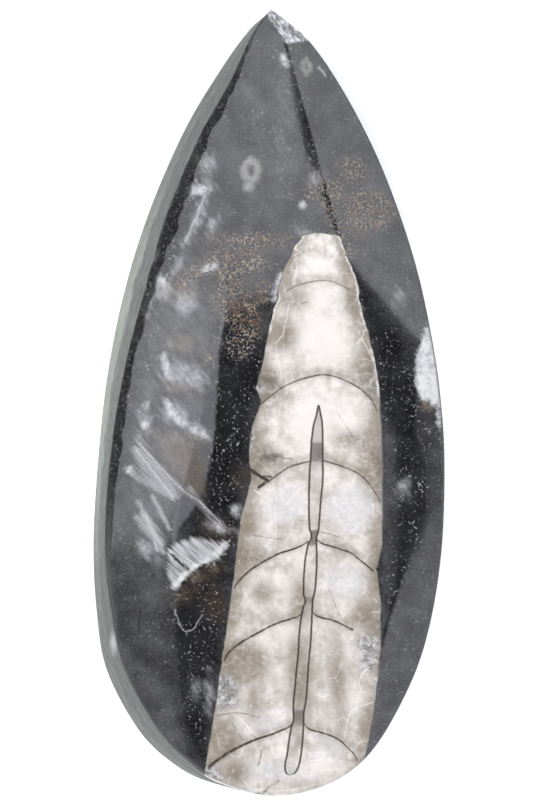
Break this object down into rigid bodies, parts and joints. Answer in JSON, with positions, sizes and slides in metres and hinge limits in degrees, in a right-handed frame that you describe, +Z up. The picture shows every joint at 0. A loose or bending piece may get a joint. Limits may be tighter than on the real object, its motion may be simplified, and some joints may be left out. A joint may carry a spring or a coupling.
{
  "type": "orthoceras fossil",
  "caption": "Drop-shaped polished stone of black limestone with the cone of a straight-shelled fossil exposed in its face.",
  "frame": {"origin": "middle of the stone's bounding box, on its flat sawn back", "axes": "+Y along the stone from its round end to its point, +Z up out of the polished face, +X to the right of both"},
  "size_m": [0.0446, 0.1, 0.018],
  "materials": {
    "black_limestone": "black limestone, ground in facets and polished on its face, matte grey-green on its wall and sawn back",
    "shell_calcite": "polished cream and brown-grey calcite with thin dark chamber walls and a dark central tube"
  },
  "bodies": {
    "root": {"limestone_matrix": "black_limestone", "orthoceras_shell": "shell_calcite"}
  },
  "joints": []
}
